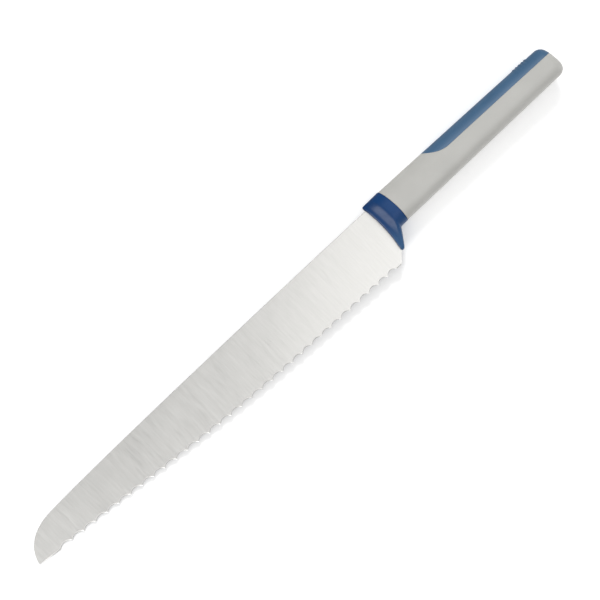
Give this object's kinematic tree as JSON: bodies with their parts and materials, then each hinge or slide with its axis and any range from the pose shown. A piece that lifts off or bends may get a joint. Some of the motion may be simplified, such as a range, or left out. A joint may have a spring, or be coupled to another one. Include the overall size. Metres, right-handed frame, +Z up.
{
  "type": "bread knife",
  "caption": "Long bread knife with a round-nosed scalloped steel blade, a moulded finger guard and a two-tone handle with a soft grip along its spine.",
  "frame": {"origin": "middle of the knife's bounding box, on the plane that its lower handle side lies on", "axes": "+X from the tip of the blade to the butt of the handle, +Y from the cutting edge to the spine, +Z up through the thickness, with the bevelled side of the blade on top"},
  "size_m": [0.3832, 0.0365, 0.016],
  "materials": {
    "blade_steel": "stainless steel sheet, finely brushed across the blade, with a bright ground bevel in the scallops",
    "bolster_blue": "hard moulded plastic, dark blue, semi-gloss",
    "handle_grey": "hard moulded plastic, warm light grey, fine matt texture",
    "grip_blue": "soft-touch elastomer, blue, matt",
    "core_plastic": "hidden moulded carrier, dark grey, unfinished"
  },
  "bodies": {
    "root": {"blade": "blade_steel", "bolster": "bolster_blue", "handle_shell": "handle_grey", "grip_inlay": "grip_blue", "tang_core": "core_plastic"}
  },
  "joints": []
}
